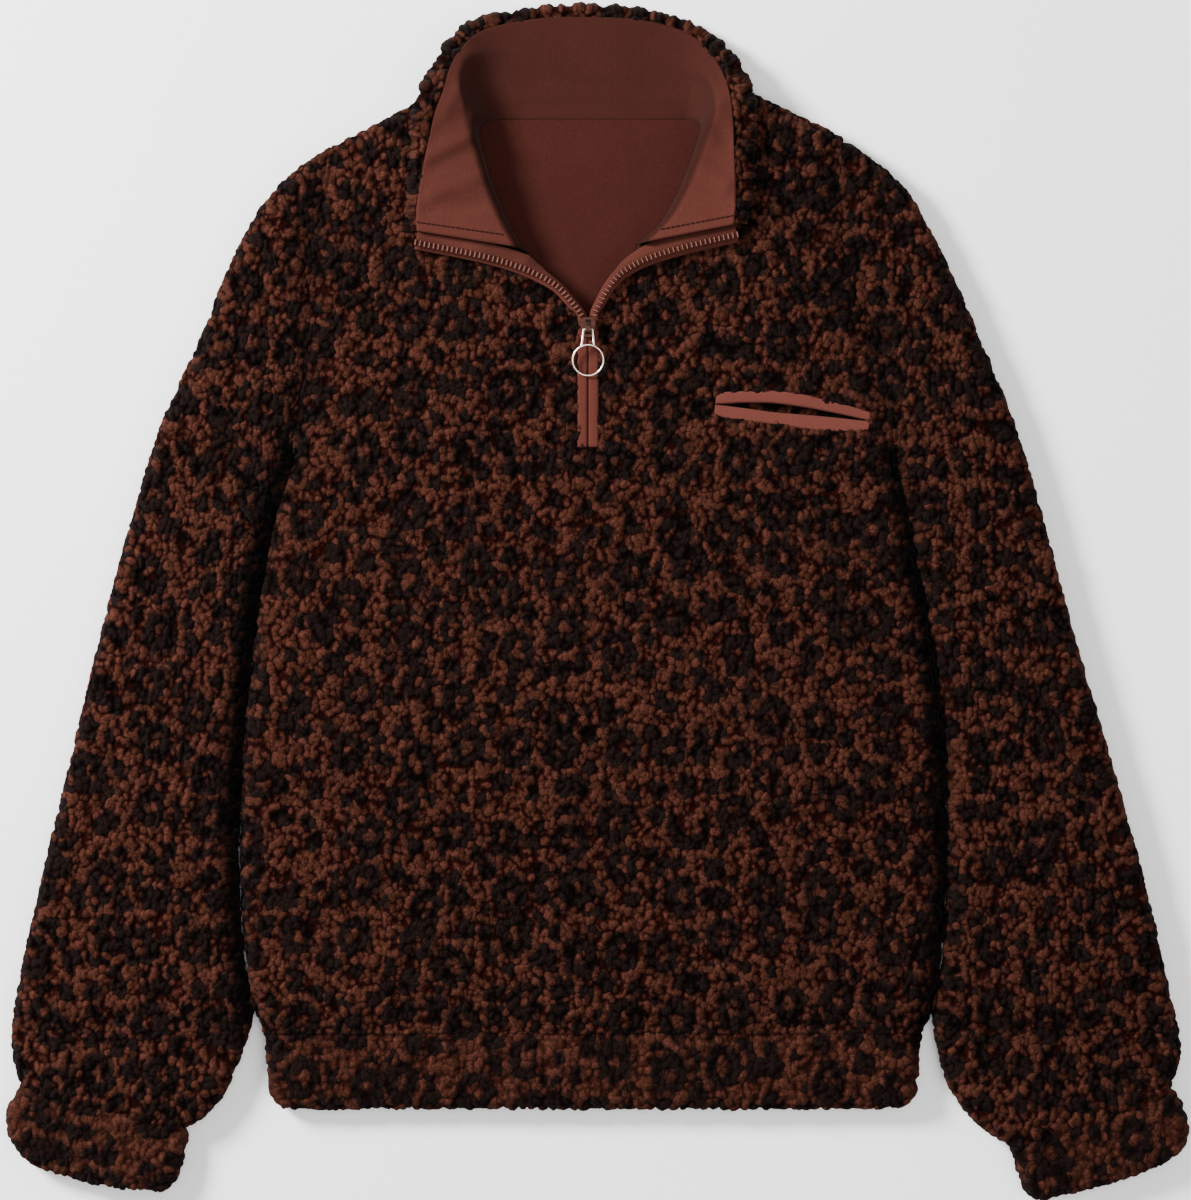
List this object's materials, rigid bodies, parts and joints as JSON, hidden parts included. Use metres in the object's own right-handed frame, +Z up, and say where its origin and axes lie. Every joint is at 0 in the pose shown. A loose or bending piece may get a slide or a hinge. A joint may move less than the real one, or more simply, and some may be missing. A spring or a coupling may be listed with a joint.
{
  "type": "sherpa fleece pullover",
  "caption": "High-pile fleece pullover with a half zip, turned-out stand collar, slanted chest pocket, banded hem and cuffs, laid flat on its back.",
  "frame": {"origin": "on the surface that the garment lies on, under the middle of its outline", "axes": "+X to the wearer's left, which is right as the front is seen; +Y towards the collar; +Z up off the surface"},
  "size_m": [0.7695, 0.776, 0.0373],
  "materials": {
    "sherpa_fleece": "curled high pile, brown and black mottling, matt",
    "brown_jersey": "fine brushed knit",
    "welt_jersey": "fine knit, folded",
    "zip_tape": "woven twill tape",
    "slider_metal": "dark copper plating",
    "pull_metal": "pale rose-gold plating, polished"
  },
  "bodies": {
    "garment": {"front": "sherpa_fleece", "back": "sherpa_fleece", "sleeve_left": "sherpa_fleece", "sleeve_right": "sherpa_fleece", "cuff_left": "sherpa_fleece", "cuff_right": "sherpa_fleece", "hem_band": "sherpa_fleece", "collar": "sherpa_fleece", "pocket_bag": "sherpa_fleece", "collar_facing": "brown_jersey", "back_lining": "brown_jersey", "zip_welt_left": "welt_jersey", "zip_welt_right": "welt_jersey", "pocket_welt_upper": "welt_jersey", "pocket_welt_lower": "welt_jersey", "zip_tape_left": "zip_tape", "zip_tape_right": "zip_tape", "zip_slider": "slider_metal"},
    "zip_pull": {"zip_pull": "pull_metal"}
  },
  "joints": [
    {"name": "pull_swing", "type": "hinge", "parent": "garment", "child": "zip_pull", "pos_m": [-0.0055, 0.1749, 0.03005], "axis": [-1, 0, 0], "range_deg": [0, 150]}
  ]
}
